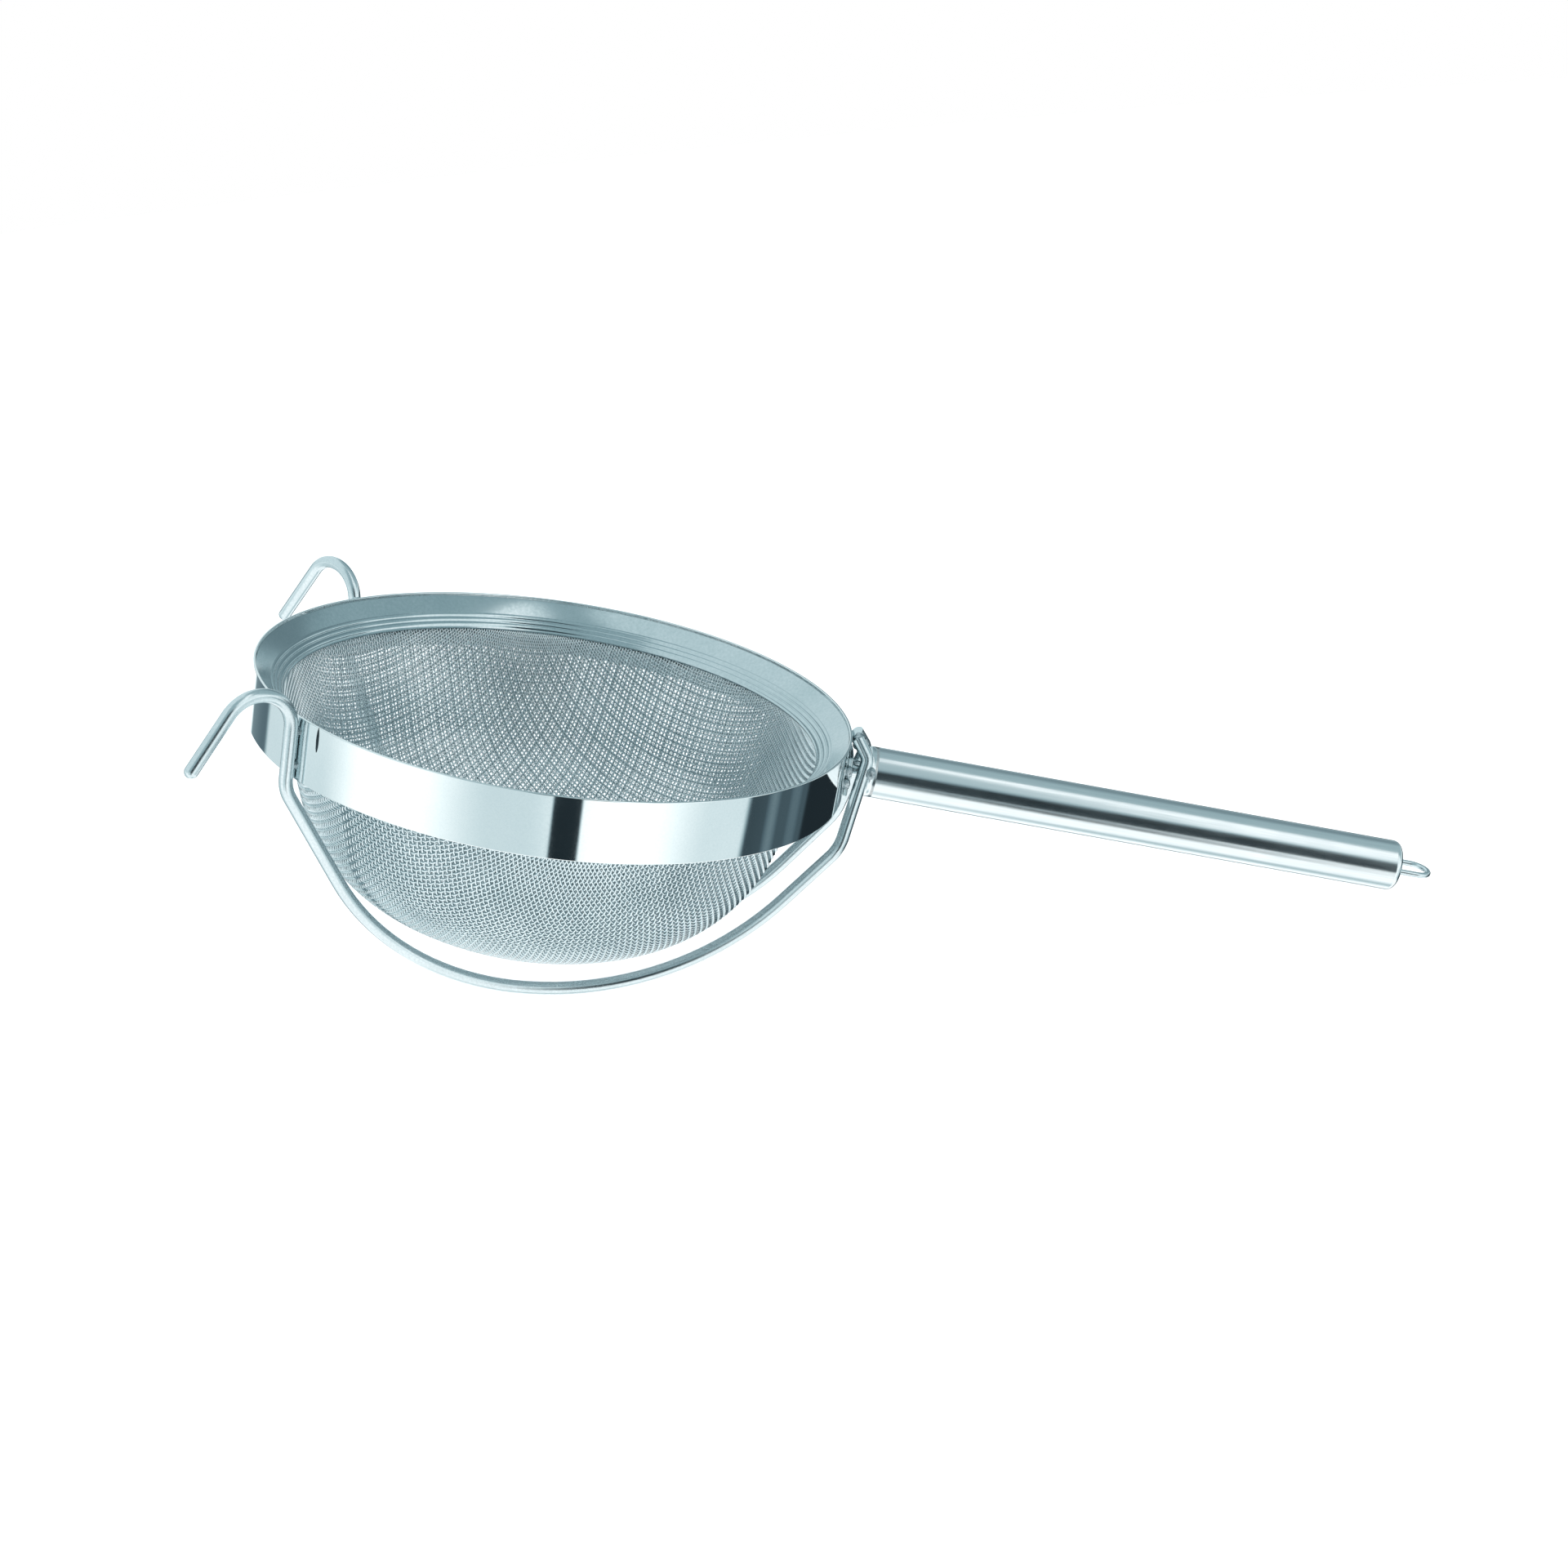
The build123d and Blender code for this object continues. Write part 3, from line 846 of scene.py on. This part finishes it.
# Radians: an edge that turns more than this is one of the pad's corners
SHARP_TURN = 1.0
saddle_turn = 2 * acos(1 - 0.5 * (SADDLE_WIDTH / 2 / RIM_RADIUS) ** 2)
saddle_profile = [
    (SADDLE_INNER, -HANDLE_DROP - SADDLE_HALF_HEIGHT),
    (SADDLE_OUTER, -HANDLE_DROP - SADDLE_HALF_HEIGHT),
    (SADDLE_OUTER, -HANDLE_DROP + SADDLE_HALF_HEIGHT),
    (SADDLE_INNER, -HANDLE_DROP + SADDLE_HALF_HEIGHT),
]
saddle = bmesh.new()
half_turn = Matrix.Rotation(-saddle_turn / 2, 3, "Z")
foot = [
    saddle.verts.new(half_turn @ Vector((radius, 0, height)))
    for radius, height in saddle_profile
]
face = saddle.faces.new(foot)
bmesh.ops.spin(
    saddle,
    geom=[face],
    cent=(0, 0, 0),
    axis=(0, 0, 1),
    angle=saddle_turn,
    steps=16,
    use_duplicate=False,
)
sharp = [
    edge
    for edge in saddle.edges
    if len(edge.link_faces) == 2 and edge.calc_face_angle() > SHARP_TURN
]
bmesh.ops.bevel(
    saddle,
    geom=sharp,
    offset=SADDLE_ROUNDING,
    offset_type="OFFSET",
    segments=3,
    profile=0.5,
    affect="EDGES",
    material=-1,
)
mesh_piece(
    "band_saddle_pad", saddle, bowl_to_frame, pressed_ring_steel, "ring_steel", "band_saddle"
)

# A weld drop's slow unevenness and its ripple: how often, and how far out or in
SWELL = (1.3, 0.22)
RIPPLE = (4.0, 0.09)


def weld_and_mark_lumps(name, lumps, *nodes, material=raw_weld_steel):
    """Uneven drops of weld metal, and the thin dark mark of a painted reflection on the band:
    each has a centre, a size in three directions and a turn about the bowl's axis."""
    shape = bmesh.new()
    for number, (centre, size, turn) in enumerate(lumps):
        drop = bmesh.ops.create_icosphere(shape, subdivisions=4, radius=1.0)["verts"]
        for vert in drop:
            swell = noise.noise(vert.co * SWELL[0] + Vector((number * 7.1, 3.0, 1.0)))
            ripple = noise.noise(vert.co * RIPPLE[0] + Vector((number * 3.7, 9.0, 5.0)))
            vert.co *= 1.0 + SWELL[1] * swell + RIPPLE[1] * ripple
        place = (
            Matrix.Rotation(turn, 4, "Z")
            @ Matrix.Translation(centre)
            @ Matrix.Diagonal((*size, 1.0))
        )
        bmesh.ops.transform(shape, matrix=place, verts=drop)
    return mesh_piece(name, shape, bowl_to_frame, material, "weld_steel", *nodes)


# A painted reflection on the band: a short upright dark mark beside the near hook, standing in
# for a dark line reflected there
REFLECTION_MARK_TURN = radians(-133.2)
weld_and_mark_lumps(
    "band_painted_reflection_mark",
    [((110.0, 0, -4.5), (0.35, 0.6, 4.2), REFLECTION_MARK_TURN)],
    "hook_spot_welds",
    material=painted_reflection_steel,
)
HOOK_TURN = radians(139.2)
weld_and_mark_lumps(
    "hook_spot_weld_marks",
    [
        ((110.6, 0, height - BAND_HEIGHT / 2), (1.0, 1.5, 1.8), side * HOOK_TURN)
        for side in (1, -1)
        for height in (-6.0, 6.0)
    ],
    "hook_spot_welds",
)
weld_and_mark_lumps(
    "wire_end_weld_knob",
    [
        ((113.4, 0.3, -2.6), (2.2, 2.6, 2.2), 0.0),
        ((112.6, 2.6, -3.8), (1.8, 2.0, 2.2), 0.0),
        ((112.6, -2.8, -3.6), (1.8, 2.1, 2.2), 0.0),
    ],
    "wire_end_weld",
)
weld_and_mark_lumps(
    "root_weld_drops",
    [((118.5, side * 9.7, -12.0), (2.1, 1.9, 2.3), 0.0) for side in (1, -1)],
    "root_weld_beads",
)
saddle_edge_turn = saddle_turn / 2
weld_and_mark_lumps(
    "saddle_weld_seams",
    [
        ((110.9, side * 0.5, height - HANDLE_DROP), (1.3, 1.5, 2.1), side * saddle_edge_turn)
        for side in (1, -1)
        for height in (-2.6, 2.4)
    ],
    "saddle_weld_beads",
)

# ---------------------------------------------------------------- floor, light and camera

STUDIO_FLOOR_METRES = 3.0
PAPER_GLOW = 0.86
TENT_STRENGTH = 1.3

floor_shape = bmesh.new()
bmesh.ops.create_circle(
    floor_shape, cap_ends=True, segments=96, radius=STUDIO_FLOOR_METRES
)
floor_mesh = bpy.data.meshes.new("studio_floor")
floor_shape.to_mesh(floor_mesh)
floor_shape.free()
floor = bpy.data.objects.new("studio_floor", floor_mesh)
scene.collection.objects.link(floor)
# Matt white studio paper, lit to almost white
paper = bpy.data.materials.new("studio_paper")
paper.use_nodes = True
paper_shader = paper.node_tree.nodes["Principled BSDF"]
paper_shader.inputs["Base Color"].default_value = linear("#C9CCCD")
paper_shader.inputs["Roughness"].default_value = 1.0
paper_shader.inputs["Specular IOR Level"].default_value = 0.0
paper_shader.inputs["Emission Color"].default_value = linear("#FFFFFF")
paper_shader.inputs["Emission Strength"].default_value = PAPER_GLOW
floor_mesh.materials.append(paper)
floor.visible_glossy = False

# The studio around the strainer, painted by direction: a white tent with the dark strip of
# the camera stand, and dim stretches beside and behind, for the steel to reflect
world = bpy.data.worlds.new("studio_tent")
scene.world = world
world.use_nodes = True
tent = world.node_tree
tent.nodes.clear()
direction = add_node(tent, "ShaderNodeTexCoord").outputs["Generated"]


def math_node(operation, first, second=0.0, third=0.0):
    """One arithmetic step of the tent's light."""
    return add_node(
        tent, "ShaderNodeMath", {0: first, 1: second, 2: third}, operation=operation
    ).outputs[0]


def step_node(value, low, high, start=0.0, end=1.0):
    """A soft step of a value between two limits."""
    return add_node(
        tent,
        "ShaderNodeMapRange",
        {
            "Value": value,
            "From Min": low,
            "From Max": high,
            "To Min": start,
            "To Max": end,
        },
        interpolation_type="SMOOTHSTEP",
    ).outputs["Result"]


def zone(azimuth, half_width, soft, low, high, low_soft, high_soft, depth, slant=0.0):
    """How much light a stretch of the tent keeps: all of it outside the zone, and
    1 - depth inside. Angles in degrees; slant turns the zone with rising elevation."""
    turned = add_node(
        tent,
        "ShaderNodeVectorRotate",
        {"Vector": direction, "Angle": -radians(azimuth)},
        rotation_type="Z_AXIS",
    ).outputs["Vector"]
    parts = add_node(tent, "ShaderNodeSeparateXYZ", {"Vector": turned}).outputs
    elevation = math_node("ARCSINE", parts["Z"])
    across = math_node("ARCTAN2", parts["Y"], parts["X"])
    across = math_node("MULTIPLY_ADD", elevation, -slant, across)
    across = math_node("ABSOLUTE", across)
    inside = step_node(across, radians(half_width - soft), radians(half_width + soft), 1.0, 0.0)
    above = step_node(elevation, radians(low - low_soft), radians(low + low_soft))
    below = step_node(elevation, radians(high - high_soft), radians(high + high_soft), 1.0, 0.0)
    mask = math_node("MULTIPLY", inside, math_node("MULTIPLY", above, below))
    return math_node("MULTIPLY_ADD", mask, -depth, 1.0)


elevation = math_node(
    "ARCSINE", add_node(tent, "ShaderNodeSeparateXYZ", {"Vector": direction}).outputs["Z"]
)


def lamp(light, level, *settings, slant=0.0):
    """The tent's light with one more lit stretch in it, at a level of its own."""
    shown = math_node("SUBTRACT", 1.0, zone(*settings, 1.0, slant=slant))
    return math_node("MAXIMUM", light, math_node("MULTIPLY", shown, level))


# White table paper below, less lit straight down, and a dimmer room above
light = step_node(elevation, radians(-3), radians(12), 1.0, 0.36)
straight_down = step_node(elevation, radians(-88), radians(-70), 0.42, 1.0)
light = math_node("MULTIPLY", light, straight_down)
# The brighter half of the room, at the bowl's far side and beyond the camera's left
light = lamp(light, 0.66, 165, 82, 15, 4, 100, 8, 5)
overhead = step_node(elevation, radians(72), radians(82), 0.0, 0.66)
light = math_node("MAXIMUM", light, overhead)
# The white side wall at the camera's right, and the lamp box above it
light = lamp(light, 0.88, -36, 26, 6, -5, 36, 4, 6)
light = lamp(light, 1.0, -81, 16, 5, 30, 70, 6, 5, slant=1.0)
# Azimuth, half width and softness, the two limits in elevation and their softness, depth
# and slant
for settings in (
    # The gap in the paper under the camera, a black bar in the band
    (-85.4, 5.3, 0.6, -36, -20, 2, 2, 0.985, 0.0),
    # Dark room at the camera's side, rising towards the handle
    (-77, 16, 4, -18, 24, 2, 6, 0.985, 0.15),
    # The unlit end beside and behind the handle, dark grey and then black
    (46.5, 39, 2, -48, -3, 3, 4, 0.93, 0.4),
    (75, 34, 1.5, -48, -2, 3, 4, 0.85, 0.25),
    # Dim wall behind the handle
    (66, 19, 8, -24, 40, 6, 12, 0.42, 0.0),
    # Dark end of the paper at the far left
    (133, 10, 2, -48, 10, 3, 4, 0.8, 0.0),
    # Grey fall-off of the paper left and right of the white middle
    (-106, 20, 14, -32, -3, 4, 5, 0.42, 0.0),
    (-18, 22, 14, -48, -12, 5, 5, 0.36, 0.0),
    (160, 30, 10, -48, -3, 5, 5, 0.42, 0.0),
):
    light = math_node("MULTIPLY", light, zone(*settings))
# Two faint shapes in the dark end
light = lamp(light, 0.16, 9, 4, 4, -48, -10, 3, 4)
light = lamp(light, 0.12, 24, 5, 4, -40, -24, 3, 4)
shade = add_node(tent, "ShaderNodeValToRGB", {"Fac": light})
ramp = shade.color_ramp
for position, colour in (
    (0.0, "#10161A"),
    (0.1, "#4B5D65"),
    (0.35, "#92A6AB"),
    (0.6, "#C5D2D5"),
    (0.85, "#E8EFF0"),
    (1.0, "#FFFFFF"),
):
    if position in (0.0, 1.0):
        stop = ramp.elements[0 if position == 0.0 else -1]
    else:
        stop = ramp.elements.new(position)
    stop.position = position
    stop.color = linear(colour)
seen = add_node(tent, "ShaderNodeBackground", {"Color": linear("#FFFFFF"), "Strength": 1.0})
lighting = add_node(
    tent, "ShaderNodeBackground", {"Color": shade.outputs["Color"], "Strength": TENT_STRENGTH}
)
path = add_node(tent, "ShaderNodeLightPath")
mixed = add_node(tent, "ShaderNodeMixShader", {"Fac": path.outputs["Is Camera Ray"]})
tent.links.new(lighting.outputs[0], mixed.inputs[1])
tent.links.new(seen.outputs[0], mixed.inputs[2])
add_node(tent, "ShaderNodeOutputWorld", {"Surface": mixed.outputs[0]})

# Camera: found from the rim's ellipse, the handle and the hooks, in the bowl's frame
VIEW_AZIMUTH = radians(-94.905)
VIEW_ELEVATION = radians(20.12)
VIEW_ROLL = radians(10.22)
VIEW_DISTANCE = 880.0
VIEW_ASIDE = (83.05, -35.827)
SENSOR_MM = 36.0
FOCAL_MM = 54.907
ahead = -Vector(
    (
        cos(VIEW_ELEVATION) * cos(VIEW_AZIMUTH),
        cos(VIEW_ELEVATION) * sin(VIEW_AZIMUTH),
        sin(VIEW_ELEVATION),
    )
)
level = ahead.cross(Vector((0, 0, 1))).normalized()
rising = level.cross(ahead)
right = cos(VIEW_ROLL) * level + sin(VIEW_ROLL) * rising
up = -sin(VIEW_ROLL) * level + cos(VIEW_ROLL) * rising
stand = -ahead * VIEW_DISTANCE + right * VIEW_ASIDE[0] + up * VIEW_ASIDE[1]
turn = Matrix.Rotation(rest_tilt, 3, "Y")
camera_data = bpy.data.cameras.new("view_camera")
camera_data.sensor_width = SENSOR_MM
camera_data.lens = FOCAL_MM
camera = bpy.data.objects.new("view_camera", camera_data)
basis = Matrix((turn @ right, turn @ up, turn @ -ahead)).transposed().to_4x4()
camera.matrix_world = Matrix.Translation(bowl_to_frame @ stand) @ basis
scene.collection.objects.link(camera)
scene.camera = camera
scene.view_settings.view_transform = "Standard"
